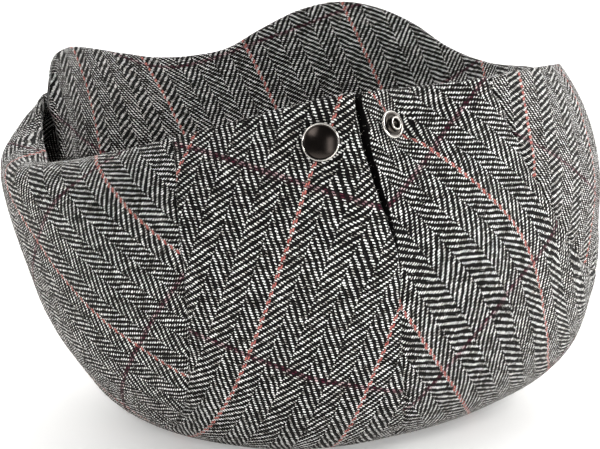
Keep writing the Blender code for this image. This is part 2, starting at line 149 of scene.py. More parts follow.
def piecewise(values, run, foot_slope):
    """A profile through the knots of the crown whose first piece, the foot, is straight."""
    runs = CROWN_RUNS
    slopes = [foot_slope, foot_slope]
    for knot in (2, 3):
        before = runs[knot] - runs[knot - 1]
        after = runs[knot + 1] - runs[knot]
        rise_before = (values[knot] - values[knot - 1]) / before
        rise_after = (values[knot + 1] - values[knot]) / after
        slopes.append((rise_before * after + rise_after * before) / (before + after))
    slopes.append(1.5 * (values[4] - values[3]) / (runs[4] - runs[3]) - 0.5 * slopes[3])
    result = foot_slope * run
    for knot in (1, 2, 3):
        beyond = knot + 1
        step = runs[beyond] - runs[knot]
        piece = hermite(run - runs[knot], step, values[knot], values[beyond], slopes[knot], slopes[beyond])
        result = np.where(run > runs[knot], piece, result)
    return result


def turned_round(turn, out, up):
    """A point that lies out from the middle and up, at an angle round the crown."""
    return np.stack([out * np.sin(turn), -out * np.cos(turn), up], axis=-1)


def unit(vectors):
    """The same directions with a length of 1."""
    return vectors / np.linalg.norm(vectors, axis=-1, keepdims=True)


def crown_point(across, along):
    """The crown's outer face at a place in a disc of radius 1, whose edge is the rim."""
    run = np.hypot(across, along)
    turn = np.arctan2(across, -along)
    azimuth = np.degrees(turn)
    foot = FOOT_RADIUS * around("foot", azimuth)
    flat = 0 * foot
    radii = [flat, foot]
    heights = [flat, flat]
    for name, radius, height in (
        ("shoulder", SHOULDER_RADIUS, SHOULDER_HEIGHT),
        ("bulge", BULGE_RADIUS, BULGE_HEIGHT),
        ("rim", RIM_RADIUS, RIM_HEIGHT),
    ):
        radii.append(radius * around(name, azimuth))
        heights.append(height * around(name + "_height", azimuth))
    radius = piecewise(radii, run, foot / CROWN_RUNS[1]) - dent(azimuth, run)
    return turned_round(turn, radius, piecewise(heights, run, flat))


def crown_normal(across, along, nudge=1e-4):
    """The direction straight out of the crown at a place in the disc, judged over a stretch of `nudge`."""
    by_across = crown_point(across + nudge, along) - crown_point(across - nudge, along)
    by_along = crown_point(across, along + nudge) - crown_point(across, along - nudge)
    return unit(np.cross(by_along, by_across))


def seam(name, station):
    """How far across the disc a seam lies at a station."""
    return smooth_through(SEAM_ROWS[:, 0], SEAM_ROWS[:, SEAM_COLUMNS.index(name)], station)


def disc_along(across, station):
    """Turns a station from -1, the back rim, to 1, the front rim, into a place along the disc."""
    return station * np.sqrt(1 - across**2)


def metres_across(across, station):
    """How many metres of cloth one unit across the disc is."""
    nudge = 1e-3
    one = crown_point(across - nudge, disc_along(across - nudge, station))
    other = crown_point(across + nudge, disc_along(across + nudge, station))
    return np.linalg.norm(other - one, axis=-1) / (2 * nudge)


# The slit at the centre back
# The centre seam is left open at the back for the size snap, with both edges turned under. The left flap
# stands off the crown, and the right panel's edge drops away behind it; that strip is painted black as shade.
LAP = 0.0041
LAP_END = -0.74
SHUT_FROM = -0.72
TIGHT_FROM = -0.86
SHUT = -0.62
FLAP_LIFT = 0.0017
PANEL_SINK = 0.0010
LIFT_MARGIN = 0.0012
LIFT_RISE = 0.0120
GAP_DEPTH = 0.0036
GAP_WIDTH = 0.0030
GAP_ROUND = 0.0004


def slit_open(station):
    """1 where the slit stands open, 0 where the seam is shut."""
    return 1 - smooth_step(SHUT_FROM, SHUT, station)


def lap(station):
    """How far each side of the slit runs past the centre line, mostly near the rim."""
    return LAP * np.clip((LAP_END - station) / (LAP_END + 1), 0, 1) ** 3


def gap_edge(station):
    """How far past the centre line the right panel's showing edge lies."""
    return lap(station) + GAP_WIDTH * (1 - smooth_step(TIGHT_FROM, SHUT, station))


def raised(across, station, side):
    """How far the cloth by the slit stands off the crown: out on the left flap, in on the right panel."""
    past_edge = (seam("centre", station) - across) * metres_across(across, station) * side
    near_slit = 1 - smooth_step(LAP + LIFT_MARGIN, LAP + LIFT_MARGIN + LIFT_RISE, past_edge)
    if side > 0:
        return FLAP_LIFT * near_slit * slit_open(station)
    edge = gap_edge(station)
    in_gap = 1 - smooth_step(edge - 2 * GAP_ROUND, edge, past_edge)
    return -PANEL_SINK * near_slit * slit_open(station) - GAP_DEPTH * in_gap * slit_open(station)


def snap_place(azimuth, run, side):
    """A point on the cloth's outer face by the slit, and the direction out of it."""
    nudge = 1e-3
    turn = math.radians(azimuth)
    across = run * math.sin(turn) + nudge * np.array([0.0, 1.0, -1.0, 0.0, 0.0])
    along = -run * math.cos(turn) + nudge * np.array([0.0, 0.0, 0.0, 1.0, -1.0])
    station = along / np.sqrt(1 - across**2)
    lift = raised(across, station, side)
    points = crown_point(across, along) + crown_normal(across, along) * lift[..., None]
    return points[0], unit(np.cross(points[3] - points[4], points[1] - points[2]))


CAP_AZIMUTH = 4.3
CAP_RUN = 0.920
STUD_AZIMUTH = 19.2
STUD_RUN = 0.939
cap_point, cap_normal = snap_place(CAP_AZIMUTH, CAP_RUN, side=1)
stud_point, stud_normal = snap_place(STUD_AZIMUTH, STUD_RUN, side=-1)


# The cloth
# Brushed wool in herringbone twill: dark warp and off-white weft, each over two threads and under two, turned
# every twelve warp threads. Pairs of coral warp threads and of wine-red weft threads make the overcheck. The
# weft is loosely spun, so its floats are uneven. Sizes are in millimetres or in threads.
WARP_PITCH = 0.604
WEFT_PITCH = 0.810
COLUMN_THREADS = 12
CORAL_EVERY = 72
WINE_EVERY = 78
CHECK_THREADS = 2


def from_hex(text):
    """An sRGB hex colour as linear RGBA."""
    parts = [int(text[at:at + 2], 16) / 255 for at in (1, 3, 5)]
    return [part / 12.92 if part <= 0.04045 else ((part + 0.055) / 1.055) ** 2.4 for part in parts] + [1.0]


def add(tree, kind, settings, inputs):
    """Adds one node with its settings, and its inputs as values or as other nodes' outputs."""
    node = tree.nodes.new(kind)
    for name, value in settings.items():
        setattr(node, name, value)
    for name, value in inputs.items():
        if isinstance(value, bpy.types.NodeSocket):
            tree.links.new(value, node.inputs[name])
        else:
            node.inputs[name].default_value = value
    return node


def new_material(name):
    """A material and its empty tree."""
    material = bpy.data.materials.new(name)
    material.use_nodes = True
    material.node_tree.nodes.clear()
    return material, material.node_tree


def herringbone_twill():
    """Rows of bright floats on a near-black ground, ragged from brushing, with faint coral and wine lines.

    Every mesh of cloth carries its places on the flat cloth, in millimetres, in its attribute `cloth`.
    """
    material, tree = new_material("brushed wool herringbone twill")
    place = add(tree, "ShaderNodeAttribute", {"attribute_name": "cloth"}, {})
    # Handling shifts the threads over stretches of 6 mm, and brushing ruffles them over less than 1 mm.
    made = {}
    flat_place = place.outputs["Vector"]
    shifted = flat_place
    for name, stretch, detail, roughness, reach in (
        ("handling", 6.0, 3.0, 0.6, 1.1),
        ("fuzz", 0.77, 4.0, 0.75, 0.5),
    ):
        noise = add(
            tree, "ShaderNodeTexNoise", {"noise_dimensions": "2D"},
            {"Vector": flat_place, "Scale": round(1 / stretch, 2), "Detail": detail, "Roughness": roughness},
        )
        made[name] = noise.outputs["Fac"]
        shifted = add(
            tree, "ShaderNodeVectorMath", {"operation": "MULTIPLY_ADD"},
            {0: noise.outputs["Color"], 1: (reach, reach, 0.0), 2: shifted},
        ).outputs["Vector"]
    split = add(tree, "ShaderNodeSeparateXYZ", {}, {"Vector": shifted})
    made.update({"across": split.outputs["X"], "along": split.outputs["Y"]})
    steps = (
        ("ends", "DIVIDE", "across", WARP_PITCH),
        ("picks", "DIVIDE", "along", WEFT_PITCH),
        ("end", "FLOOR", "ends"),
        ("pick", "FLOOR", "picks"),
        ("in_end", "SUBTRACT", "ends", "end"),
        ("in_pick", "SUBTRACT", "picks", "pick"),
        ("column", "DIVIDE", "end", COLUMN_THREADS),
        ("column_number", "FLOOR", "column"),
        ("turned", "FLOORED_MODULO", "column_number", 2.0),
        ("side", "MULTIPLY_ADD", "turned", -2.0, 1.0),
        ("break", "MULTIPLY", "turned", 2.0),
        ("weft_plain", "MULTIPLY_ADD", "side", "ends", "pick"),
        ("weft_phase", "ADD", "weft_plain", "break"),
        ("weft_angle", "MULTIPLY", "weft_phase", math.pi / 2),
        ("weft_wave", "SINE", "weft_angle"),
        ("end_middle", "ADD", "end", 0.5),
        ("warp_plain", "MULTIPLY_ADD", "side", "end_middle", "picks"),
        ("warp_broken", "ADD", "warp_plain", "break"),
        ("warp_phase", "SUBTRACT", "warp_broken", 0.5),
        ("warp_angle", "MULTIPLY", "warp_phase", math.pi / 2),
        ("warp_wave", "SINE", "warp_angle"),
        ("round_end", "MULTIPLY", "in_end", math.pi),
        ("warp_round", "SINE", "round_end"),
        ("round_pick", "MULTIPLY", "in_pick", math.pi),
        ("weft_round", "SINE", "round_pick"),
        ("weft_thin", "MULTIPLY", "weft_round", "weft_round"),
        ("weft_over", "MULTIPLY", "weft_wave", -1.6),
        ("weft_long", "MINIMUM", "weft_over", 1.0),
        ("weft_float", "MULTIPLY", "weft_long", "weft_thin"),
        ("warp_float", "MULTIPLY", "warp_wave", "warp_round"),
        ("height", "MAXIMUM", "weft_float", "warp_float"),
        ("float_turn", "DIVIDE", "weft_phase", 4.0),
        ("float_number", "FLOOR", "float_turn"),
        ("coral_at", "FLOORED_MODULO", "end", CORAL_EVERY),
        ("coral", "LESS_THAN", "coral_at", CHECK_THREADS - 0.5),
        ("wine_at", "FLOORED_MODULO", "pick", WINE_EVERY),
        ("wine", "LESS_THAN", "wine_at", CHECK_THREADS - 0.5),
        ("by_wine", "LESS_THAN", "wine_at", CHECK_THREADS + 0.5),
    )
    for name, operation, *values in steps:
        inputs = {at: made.get(value, value) for at, value in enumerate(values)}
        made[name] = add(tree, "ShaderNodeMath", {"operation": operation}, inputs).outputs[0]
    which_float = add(
        tree, "ShaderNodeCombineXYZ", {},
        {"X": made["float_number"], "Y": made["pick"], "Z": made["column_number"]},
    )
    chance = add(
        tree, "ShaderNodeTexWhiteNoise", {"noise_dimensions": "3D"},
        {"Vector": which_float.outputs["Vector"]},
    )
    made["chance"] = chance.outputs["Value"]
    for name, source, factor, offset, clamped in (
        ("loose", "fuzz", 0.9, "weft_float", False),
        ("uneven", "chance", 0.55, "loose", False),
        ("pressed", "handling", 0.8, "uneven", False),
        ("weft_share", "pressed", 4.2, -6.52, True),
        ("warp_share", "warp_float", 4.0, -0.6, True),
        ("warp_cover", "coral", 0.1, "warp_share", True),
    ):
        settings = {"operation": "MULTIPLY_ADD", "use_clamp": clamped}
        inputs = {0: made[source], 1: factor, 2: made.get(offset, offset)}
        made[name] = add(tree, "ShaderNodeMath", settings, inputs).outputs[0]
    for name, source, low, low_colour, high, high_colour in (
        ("off_white", "chance", 0.0, "#d0cac1", 0.5, "#fffefb"),
        ("black", "fuzz", 0.42, "#040404", 0.85, "#312e2c"),
        ("pink", "fuzz", 0.38, "#9c3531", 0.64, "#e59a8f"),
        ("wine_red", "chance", 0.2, "#6d2f42", 0.8, "#dcc3c4"),
    ):
        ramp = add(tree, "ShaderNodeValToRGB", {}, {"Fac": made[source]})
        for at, (position, colour) in enumerate(((low, low_colour), (high, high_colour))):
            ramp.color_ramp.elements[at].position = position
            ramp.color_ramp.elements[at].color = from_hex(colour)
        made[name] = ramp.outputs["Color"]
    made["shadow"] = from_hex("#030303")
    made["wine_shadow"] = from_hex("#210b13")
    for name, share, first, second in (
        ("weft_colour", "wine", "off_white", "wine_red"),
        ("warp_colour", "coral", "black", "pink"),
        ("under", "by_wine", "shadow", "wine_shadow"),
        ("warp_thread", "warp_cover", "under", "warp_colour"),
        ("threads", "weft_share", "warp_thread", "weft_colour"),
    ):
        inputs = {0: made[share], 6: made[first], 7: made[second]}
        made[name] = add(tree, "ShaderNodeMix", {"data_type": "RGBA"}, inputs).outputs[2]
    relief = add(tree, "ShaderNodeBump", {}, {"Height": made["height"], "Strength": 0.6, "Distance": 0.0002})
    shader = add(
        tree, "ShaderNodeBsdfPrincipled", {},
        {
            "Base Color": made["threads"],
            "Normal": relief.outputs["Normal"],
            "Roughness": 0.9,
            "IOR": 1.45,
            "Specular IOR Level": 0.12,
            "Sheen Weight": 0.08,
            "Sheen Roughness": 0.4,
            "Sheen Tint": from_hex("#e8e4de"),
        },
    )
    add(tree, "ShaderNodeOutputMaterial", {}, {"Surface": shader.outputs["BSDF"]})
    return material


def slit_shade_paint():
    """Painted shade for the slit's deep gap: a dead matt black, with bumps in ribs half a millimetre apart.
    """
    # A wave texture's bands lie pi / 10 / scale apart.
    rib_spacing = 0.5
    rib_scale = round(math.pi / 10 / rib_spacing, 2)
    material, tree = new_material("matt black painted shade in the slit")
    place = add(tree, "ShaderNodeAttribute", {"attribute_name": "cloth"}, {})
    ribs = add(tree, "ShaderNodeTexWave", {}, {"Vector": place.outputs["Vector"], "Scale": rib_scale})
    relief = add(
        tree, "ShaderNodeBump", {}, {"Height": ribs.outputs["Fac"], "Strength": 0.4, "Distance": 0.0001},
    )
    shader = add(
        tree, "ShaderNodeBsdfPrincipled", {},
        {
            "Base Color": from_hex("#0a0909"),
            "Normal": relief.outputs["Normal"],
            "Roughness": 0.95,
            "Specular IOR Level": 0.05,
        },
    )
    add(tree, "ShaderNodeOutputMaterial", {}, {"Surface": shader.outputs["BSDF"]})
    return material


wool = herringbone_twill()
# The black that paints the shade in the slit's gap.
black_paint_for_slit_shade = slit_shade_paint()


# The four panels
# Each is a flat cut of the cloth, sewn to the next with its seam allowances pressed open inside and its rim
# turned under. The cloth rolls over at every edge, so each seam is a shallow valley with small puckers.
GRID_STEP = 0.0012
SEAM_RADIUS = 0.0007
FOLD_RADIUS = 0.0012
EDGE_SHARES = np.array((0.0, 0.04, 0.15, 0.33, 0.62))
MOST_EDGE = 0.45
PANEL_LENGTH = 0.41
SIDE_PANEL_END = 0.985
OUTER_SEAM = {1: "left", -1: "right"}
SEAM_TUCK = 0.0002
INNER_STRETCH = 0.04
ALLOWANCE_WIDTH = 0.0085
ALLOWANCE_THICKNESS = 0.0009
HEM_WIDTH = 0.0160
STEP_DOWN = 0.0012
# The least width of the slit's gap that gets painted black as shade.
LEAST_PAINTED_SHADE = 0.0002
RIDGE_HEIGHT = 0.00030
RIDGE_RISE = (0.0, 0.0022)
RIDGE_FALL = (0.0055, 0.0110)
PUCKER_HEIGHT = 0.00035
PUCKER_SPACING = 0.0105
PUCKER_REACH = 0.0060
PUCKER_DRIFT = 1.6
PUCKER_DRIFT_SPACING = 0.037
WAVE_HEIGHT = 0.00055
WAVE_LENGTHS = (0.061, 0.047, 0.038, 0.029, 0.023, 0.017, 0.012)
WAVE_TOTAL = 0.13
LIFTS_OFF_FLOOR = (0.001, 0.012)
SNAP_SINK = 0.0008
CAP_HOLLOW = (0.0062, 0.0110)
STUD_HOLLOW = (0.0055, 0.0130)
STUD_TILT = 25.0
STUD_TILT_UP = 0.3
FLAT_ROWS = 61
FLAT_PLACES = 15


def from_edge(lengths, first, last):
    """Distances from a first edge for cloth of each length, close together where its two edges roll over."""
    count = int(lengths.max() / GRID_STEP)
    first = np.minimum(first, MOST_EDGE * lengths)[:, None]
    last = np.minimum(last, MOST_EDGE * lengths)[:, None]
    middle = first + (lengths[:, None] - first - last) * np.linspace(0, 1, count)
    return np.concatenate([first * EDGE_SHARES, middle, lengths[:, None] - last * EDGE_SHARES[::-1]], axis=1)


def gap_columns(lengths, to_gap):
    """Distances from the right panel's hidden edge: the strip behind the flap, the fold, then the rest."""
    count = int(lengths.max() / GRID_STEP)
    to_gap = np.maximum(to_gap, 3 * SEAM_RADIUS)[:, None]
    lengths = lengths[:, None]
    strip = SEAM_RADIUS + (to_gap - 2 * GAP_ROUND - SEAM_RADIUS) * np.linspace(0, 1, 6)[:-1]
    fold = to_gap + GAP_ROUND * np.linspace(-2, 0, 7)
    rest = to_gap + (lengths - to_gap - SEAM_RADIUS) * np.linspace(0, 1, count)[1:]
    edge = SEAM_RADIUS * EDGE_SHARES
    return np.concatenate([edge + 0 * lengths, strip, fold, rest, lengths - edge[::-1]], axis=1)


def roll_over(distance, radius):
    """The share of the cloth's half thickness at a distance from its edge."""
    share = np.clip(distance / radius, 0, 1)
    return np.sqrt(1 - (1 - share) ** 2)


def waves(points, seed):
    """Soft unevenness of handled cloth, from -1 to 1, at points in metres."""
    random = np.random.default_rng(seed)
    total = 0.0
    for length in WAVE_LENGTHS:
        direction = unit(random.normal(size=3))
        total = total + length * np.sin(2 * math.pi * (points @ direction) / length + random.uniform(0, 6.28))
    return total / WAVE_TOTAL


def seam_run(name, station):
    """How far along a seam each station is, in metres."""
    fine = np.linspace(-1, 1, 401)
    line = crown_point(seam(name, fine), disc_along(seam(name, fine), fine))
    length = np.cumsum(np.linalg.norm(np.diff(line, axis=0, prepend=line[:1]), axis=1))
    return np.interp(station, fine, length)


def quads(grid):
    """The four-cornered faces of a grid of point numbers."""
    return np.stack([grid[:-1, :-1], grid[:-1, 1:], grid[1:, 1:], grid[1:, :-1]], axis=-1).reshape(-1, 4)


def flattened(grid, rounds=24):
    """Lays a grid of points on the crown out flat with as little stretch as can be, in metres."""
    rows, places = grid.shape[:2]
    cells = quads(np.arange(rows * places).reshape(rows, places))
    triangles = np.concatenate([cells[:, :3], cells[:, [0, 2, 3]]])
    corners = grid.reshape(-1, 3)[triangles]
    side = corners[:, 1] - corners[:, 0]
    other = corners[:, 2] - corners[:, 0]
    cross = np.cross(side, other)
    area = np.linalg.norm(cross, axis=1) / 2
    kept = area > 1e-9
    triangles, side, other, cross, area = (part[kept] for part in (triangles, side, other, cross, area))
    x_axis = unit(side)
    y_axis = np.cross(cross / (2 * area[:, None]), x_axis)
    laid = np.stack([side, other], axis=1) @ np.stack([x_axis, y_axis], axis=2)
    slope = np.linalg.inv(laid) @ np.array([[-1.0, 1, 0], [-1, 0, 1]])
    total = rows * places
    matrix = np.eye(total) * 1e-9
    local = np.einsum("t,tij,tik->tjk", area, slope, slope)
    np.add.at(matrix, (triangles[:, :, None], triangles[:, None, :]), local)
    solve = np.linalg.inv(matrix)
    middle = places // 2
    reach = np.cumsum(np.linalg.norm(np.diff(grid, axis=1, prepend=grid[:, :1]), axis=2), axis=1)
    reach = reach - reach[:, middle:middle + 1]
    length = np.cumsum(np.linalg.norm(np.diff(grid[:, middle], axis=0, prepend=grid[:1, middle]), axis=1))
    flat = np.stack([reach, np.repeat(length[:, None], places, axis=1)], axis=-1).reshape(-1, 2)
    for _ in range(rounds):
        change = slope @ flat[triangles]
        turn = np.arctan2(change[:, 0, 1] - change[:, 1, 0], change[:, 0, 0] + change[:, 1, 1])
        cosine, sine = np.cos(turn), np.sin(turn)
        turned = np.stack([cosine, sine, -sine, cosine], axis=-1).reshape(-1, 2, 2)
        pull = np.einsum("t,tij,tik->tjk", area, slope, turned)
        right = np.zeros((total, 2))
        np.add.at(right, triangles, pull)
        flat = solve @ right
        flat = flat - flat.mean(axis=0)
    return flat.reshape(rows, places, 2)


def read_grid(values, row, place):
    """Reads a grid of values at fractional rows and places."""
    rows, places = values.shape[:2]
    low_row = np.clip(row.astype(int), 0, rows - 2)
    low_place = np.clip(place.astype(int), 0, places - 2)
    up = (row - low_row)[..., None]
    over = (place - low_place)[..., None]
    first = values[low_row, low_place] * (1 - over) + values[low_row, low_place + 1] * over
    second = values[low_row + 1, low_place] * (1 - over) + values[low_row + 1, low_place + 1] * over
    return first * (1 - up) + second * up


def on_cloth(flat, turn, coral, wine, pulled):
    """Flat metres as millimetres across and along the warp, where handling has pulled the cloth askew."""
    turn = math.radians(turn)
    across = flat[..., 0] * math.cos(turn) + flat[..., 1] * math.sin(turn)
    along = flat[..., 1] * math.cos(turn) - flat[..., 0] * math.sin(turn)
    return np.stack(pulled(across * 1000 - coral, along * 1000 - wine), axis=-1)


# How handling has pulled each piece's cloth, in millimetres across and along the warp, as the photo shows it.
def true_cloth(across, along):
    """The left back panel hangs true: its weft lies square to its warp."""
    return across, along


def bowed_cloth(across, along):
    """The right back panel's warp bows, most at 5 cm below its first wine line, and its weft slants down.

    The bow stops growing 12 cm below that line, and the crowding of the picks is gone at 26 cm.
    """
    middle, roundness, end, fade = 50, 30, 120, 8
    bowed = along - fade * np.logaddexp(0, (along - end) / fade)
    bow = 6.5 - 0.42 * (np.hypot(bowed - middle, roundness) - roundness)
    crowded = 0.3 * np.maximum(bowed - 40, 0) * smooth_step(-10, 20, across)
    crowded = crowded * (1 - smooth_step(end, 260, along))
    slanted = 1.05 * along + 0.23 * across + 1.0
    return across - bow * smooth_step(-45, -5, across), slanted - crowded


def slack_cloth(across, along):
    """The left side panel is a little slack, so its picks crowd."""
    return across, 1.15 * along - 0.12 * across


def slanting_cloth(across, along):
    """The right side panel is pulled on the bias: its weft slants down to the front and its picks crowd."""
    return 0.9 * across, 1.45 * along - 0.45 * across + 50.2


def drawn_cloth(across, along):
    """The peak's cover is drawn down at its free left end, where its weft slants."""
    return across, 1.2 * along + 4.5 * np.log1p(np.exp(-(across + 35) / 6)) - 4.7


def carried_over(laid, distance, radius, half, axis):
    """The place on the cloth where it rolls over an edge: further on by as much as its face has dropped."""
    step = np.gradient(laid, axis=axis) * np.sign(np.gradient(distance, axis=axis))[..., None]
    step = step / np.maximum(np.linalg.norm(step, axis=-1, keepdims=True), 1e-9)
    return step * (1000 * half * (1 - roll_over(distance, radius)))[..., None]


def placed(name, data):
    """A new object in the scene."""
    thing = bpy.data.objects.new(name, data)
    bpy.context.collection.objects.link(thing)
    return thing


def shaped(name, points, faces, materials):
    """A new object from its points in metres, its faces and its materials."""
    mesh = bpy.data.meshes.new(name)
    mesh.from_pydata(points.tolist(), [], faces.tolist())
    for material in materials:
        mesh.materials.append(material)
    return placed(name, mesh)


def cloth_piece(name, node, outside, inside, place, turned_place, in_painted_shade=None):
    """A closed piece of cloth from two grids of points that meet all round their edges."""
    rows, places = outside.shape[:2]
    index = np.arange(rows * places).reshape(rows, places)
    under = index + rows * places
    border = np.ones((rows, places), bool)
    border[1:-1, 1:-1] = False
    under[border] = index[border]
    faces = np.concatenate([quads(index)[:, ::-1], quads(under)])
    points = np.concatenate([outside.reshape(-1, 3), inside.reshape(-1, 3)])
    marks = np.concatenate([place.reshape(-1, 2), turned_place.reshape(-1, 2)])
    marks = np.concatenate([marks, 0 * marks[:, :1]], axis=1)
    used = np.unique(faces)
    renumber = np.zeros(len(points), int)
    renumber[used] = np.arange(len(used))
    # Faces in the slit's gap take the second material, a matt black that paints the shade there.
    materials = [wool] if in_painted_shade is None else [wool, black_paint_for_slit_shade]
    piece = shaped(name, points[used], renumber[faces], materials)
    attribute = piece.data.attributes.new("cloth", "FLOAT_VECTOR", "POINT")
    attribute.data.foreach_set("vector", marks[used].astype(np.float32).ravel())
    piece.data.shade_smooth()
    if in_painted_shade is not None:
        on_faces = np.tile(in_painted_shade[:-1, :-1].astype(np.int32).ravel(), 2)
        piece.data.polygons.foreach_set("material_index", on_faces)
    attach(piece, "root")
    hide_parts(node)
    return piece


tilt_direction = np.array([math.cos(STUD_TILT_UP), 0.0, math.sin(STUD_TILT_UP)])
tilt_direction = unit(tilt_direction - stud_normal * (tilt_direction @ stud_normal))


def sewn_relief(points, seams):
    """How far the outer face stands off its plain shape, from seam ridges, puckers and handling."""
    relief = WAVE_HEIGHT * waves(points, seed=4)
    for distance, run in seams:
        ridge = smooth_step(*RIDGE_RISE, distance) * (1 - smooth_step(*RIDGE_FALL, distance))
        drift = PUCKER_DRIFT * np.sin(2 * math.pi * run / PUCKER_DRIFT_SPACING)
        pucker = np.sin(2 * math.pi * run / PUCKER_SPACING + drift) * np.exp(-distance / PUCKER_REACH)
        relief = relief + RIDGE_HEIGHT * ridge + PUCKER_HEIGHT * pucker
    from_cap = np.linalg.norm(points - cap_point, axis=-1)
    relief = relief - SNAP_SINK * (1 - smooth_step(*CAP_HOLLOW, from_cap))
    from_stud = points - stud_point
    near_stud = 1 - smooth_step(*STUD_HOLLOW, np.linalg.norm(from_stud, axis=-1))
    slope = from_stud @ tilt_direction * math.tan(math.radians(STUD_TILT))
    relief = relief - (SNAP_SINK + slope) * near_stud
    return relief * smooth_step(*LIFTS_OFF_FLOOR, points[..., 2])


def dress_panel(name, node, across, along, from_rim, seams, lift, laid, rim_axis, in_painted_shade=None):
    """Makes one panel from its places in the disc, the distances from its edges, and its flat cloth."""
    base = crown_point(across, along)
    normal = crown_normal(across, along)
    face = base + normal * (lift + sewn_relief(base, seams))[..., None]
    middle = face - normal * CLOTH / 2
    inward = crown_normal(across, along, INNER_STRETCH)
    share = roll_over(from_rim, FOLD_RADIUS)
    place = laid - carried_over(laid, from_rim, FOLD_RADIUS, CLOTH / 2, rim_axis)
    turned_in = 1 - smooth_step(HEM_WIDTH, HEM_WIDTH + STEP_DOWN, from_rim)
    for distance, _ in seams:
        share = share * roll_over(distance, SEAM_RADIUS)
        place = place - carried_over(laid, distance, SEAM_RADIUS, CLOTH / 2, axis=1)
        allowance = 1 - smooth_step(ALLOWANCE_WIDTH, ALLOWANCE_WIDTH + STEP_DOWN, distance)
        turned_in = np.maximum(turned_in, allowance)
    under = CLOTH / 2 + ALLOWANCE_THICKNESS * turned_in
    outside = middle + normal * (CLOTH / 2 * share)[..., None]
    inside = middle - inward * (under * share)[..., None]
    outside[..., 2] = np.maximum(outside[..., 2], 0.0)
    return cloth_piece(name, node, outside, inside, place, place, in_painted_shade)


def left_first(side, outer, centre):
    """What belongs to a back panel's side seam and to its centre seam, in order from the left."""
    return (outer, centre) if side > 0 else (centre, outer)


def back_places(side, rows, shares):
    """Places in the disc between a side seam and the centre seam, from the left edge to the right edge."""
    start, end = left_first(side, seam(OUTER_SEAM[side], rows), seam("centre", rows))
    across = start[:, None] + (end - start)[:, None] * shares
    return across, disc_along(across, rows[:, None])


def back_panel(name, node, side, turn, coral, wine, pulled):
    """A panel between a side seam and the centre seam: 1 is the left one, -1 the right one."""
    down = from_edge(np.array([PANEL_LENGTH]), FOLD_RADIUS, FOLD_RADIUS)[0]
    station = -1 + 2 * down / PANEL_LENGTH
    outer = seam(OUTER_SEAM[side], station)
    centre = seam("centre", station)
    outer_edge = outer - side * SEAM_TUCK / 2 / metres_across(outer, station)
    centre_edge = centre + side * (lap(station) + SEAM_TUCK / 2) / metres_across(centre, station)
    start, end = left_first(side, outer_edge, centre_edge)
    width = (end - start) * metres_across((start + end) / 2, station)
    if side > 0:
        from_start = from_edge(width, SEAM_RADIUS, SEAM_RADIUS)
        in_painted_shade = None
    else:
        gap_across = centre + gap_edge(station) / metres_across(centre, station)
        to_gap = (gap_across - start) / (end - start) * width
        from_start = gap_columns(width, to_gap)
        # Where the gap stands open, the right panel's strip behind the flap is painted black as shade.
        gap_wide_enough = slit_open(station) * (gap_edge(station) - lap(station)) > LEAST_PAINTED_SHADE
        in_painted_shade = (from_start < to_gap[:, None] - 1e-6) & gap_wide_enough[:, None]
    from_end = width[:, None] - from_start
    across = start[:, None] + (end - start)[:, None] * from_start / width[:, None]
    stations = station[:, None] + 0 * across
    corners = back_places(side, np.linspace(-1, 1, FLAT_ROWS), np.linspace(0, 1, FLAT_PLACES))
    flat = flattened(crown_point(*corners))
    first, last = left_first(side, outer, centre)
    place = (across - first[:, None]) / (last - first)[:, None] * (FLAT_PLACES - 1)
    laid = on_cloth(read_grid(flat, (stations + 1) / 2 * (FLAT_ROWS - 1), place), turn, coral, wine, pulled)
    from_rim = np.minimum(down, PANEL_LENGTH - down)[:, None] + 0 * across
    from_outer, from_centre = left_first(side, from_start, from_end)
    lift = raised(across, stations, side)
    sideways = unit(laid[:, -1:] - laid[:, :1])
    laid = laid - side * sideways * lift[..., None] * 1000
    seams = [
        (from_outer, seam_run(OUTER_SEAM[side], station)[:, None]),
        (from_centre, seam_run("centre", station)[:, None]),
    ]
    along = disc_along(across, stations)
    return dress_panel(name, node, across, along, from_rim, seams, lift, laid, rim_axis=0, in_painted_shade=in_painted_shade)


left_back = back_panel(
    "left_back_cloth", "back_panel_left", side=1, turn=16.5, coral=-39.6, wine=-174.0, pulled=true_cloth,
)
right_back = back_panel(
    "right_back_cloth", "back_panel_right", side=-1, turn=9.5, coral=8.7, wine=-151.0, pulled=bowed_cloth,
)


def side_places(side, station):
    """The two edges of a side panel in the disc at each station: its seam, and its rim."""
    seam_across = seam(OUTER_SEAM[side], station)
    seam_along = disc_along(seam_across, station)
    ends = np.array([-1.0, 1.0])
    end_across = seam(OUTER_SEAM[side], ends)
    turn_ends = np.arctan2(end_across, -disc_along(end_across, ends))
    turn = turn_ends[0] + (turn_ends[1] - turn_ends[0]) * (station + 1) / 2
    return seam_across, seam_along, np.sin(turn), -np.cos(turn)


def between(one, other, share):
    """The values part of the way from one column to the other."""
    return one[:, None] * (1 - share) + other[:, None] * share


